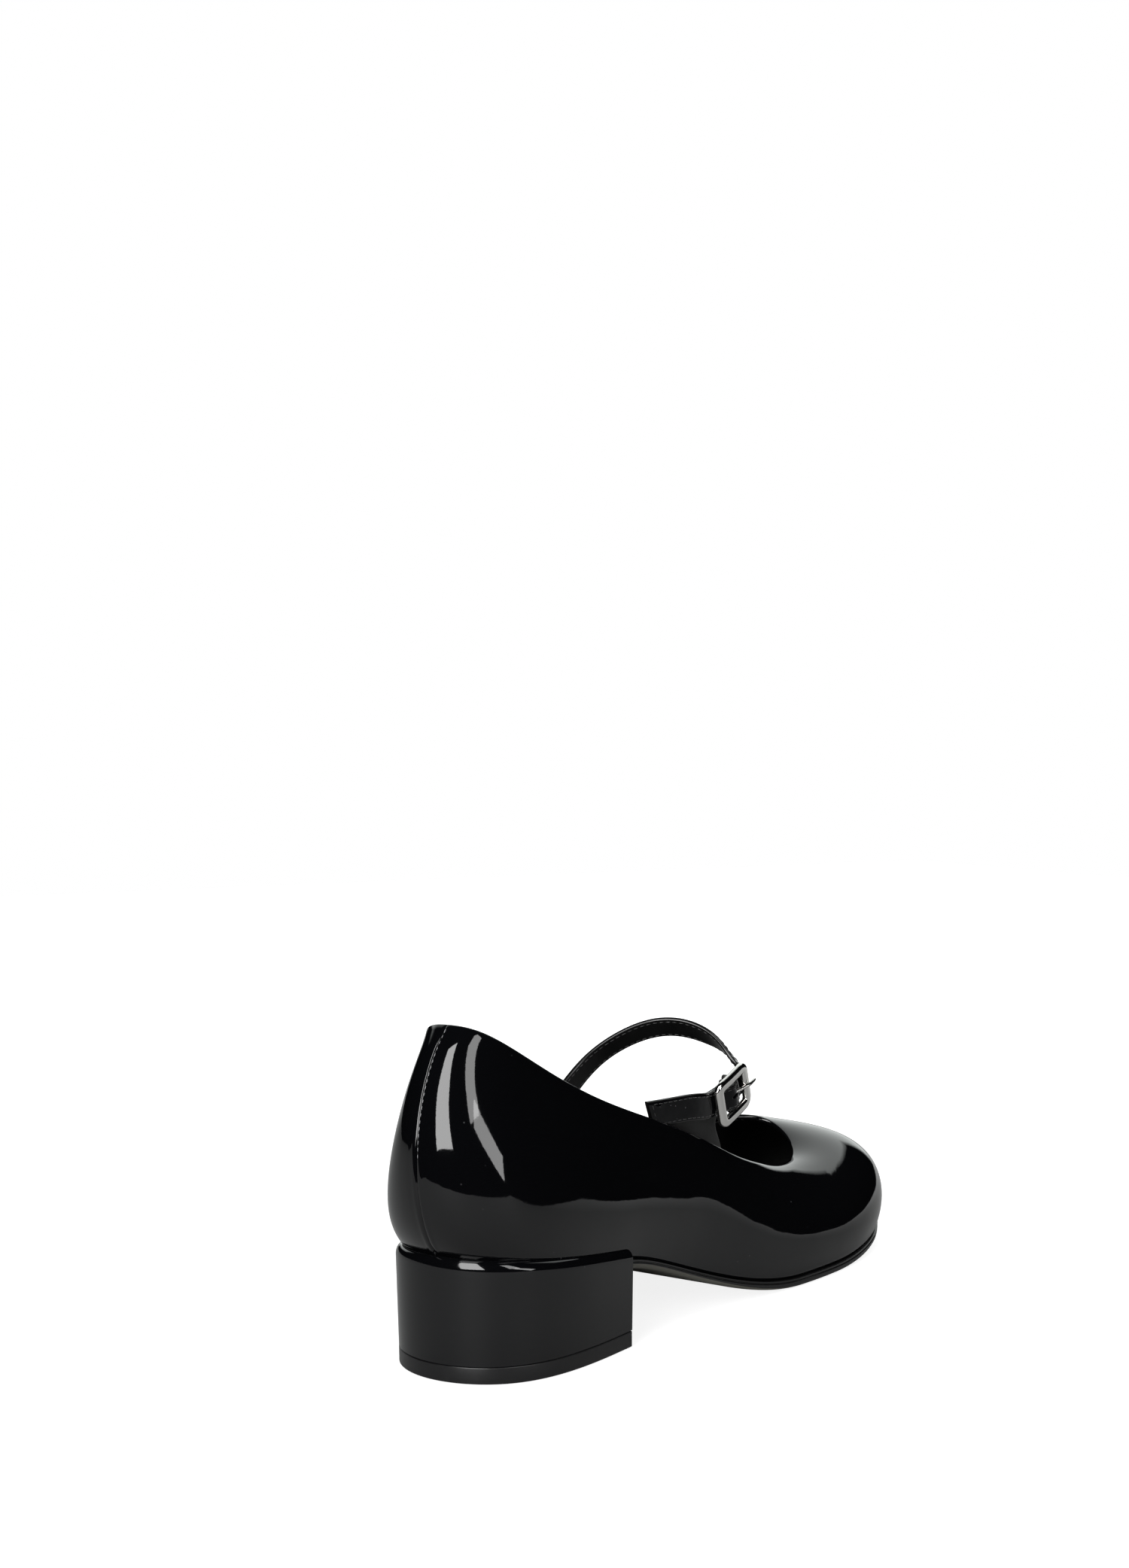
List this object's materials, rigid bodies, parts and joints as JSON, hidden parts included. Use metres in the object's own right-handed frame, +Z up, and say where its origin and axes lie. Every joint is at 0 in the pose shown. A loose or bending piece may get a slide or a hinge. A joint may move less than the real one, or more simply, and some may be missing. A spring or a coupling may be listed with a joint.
{
  "type": "low heel pump",
  "caption": "Women's low block-heel pump in black patent with a round toe and an instep strap closed by a silver buckle; the right shoe, empty and standing on its sole.",
  "frame": {"origin": "middle of the heel's top-lift on the floor, between its back and its breast", "axes": "+X to the toe, +Y to the inner side of the foot, +Z up; Z = 0 is the floor under heel and forefoot"},
  "size_m": [0.247, 0.0762, 0.101],
  "materials": {
    "upper_patent_leather": "black patent, mirror gloss",
    "sole_board": "olive-brown matt sole with a dark edge",
    "insole_sock": "black matt sock lining",
    "heel_cover_patent": "black glossy cover over a plastic core",
    "top_lift_rubber": "black satin wear piece",
    "strap_patent_leather": "black patent face, matt back",
    "tab_patent_leather": "black patent, softly creased",
    "frame_polished_silver": "polished silver",
    "bar_steel": "plain steel wire",
    "prong_polished_silver": "polished silver"
  },
  "bodies": {
    "root": {"upper": "upper_patent_leather", "outsole": "sole_board", "insole": "insole_sock", "heel_block": "heel_cover_patent", "heel_top_lift": "top_lift_rubber", "strap": "strap_patent_leather", "buckle_tab": "tab_patent_leather", "buckle_frame": "frame_polished_silver", "buckle_bar": "bar_steel", "buckle_prong": "prong_polished_silver"}
  },
  "joints": []
}
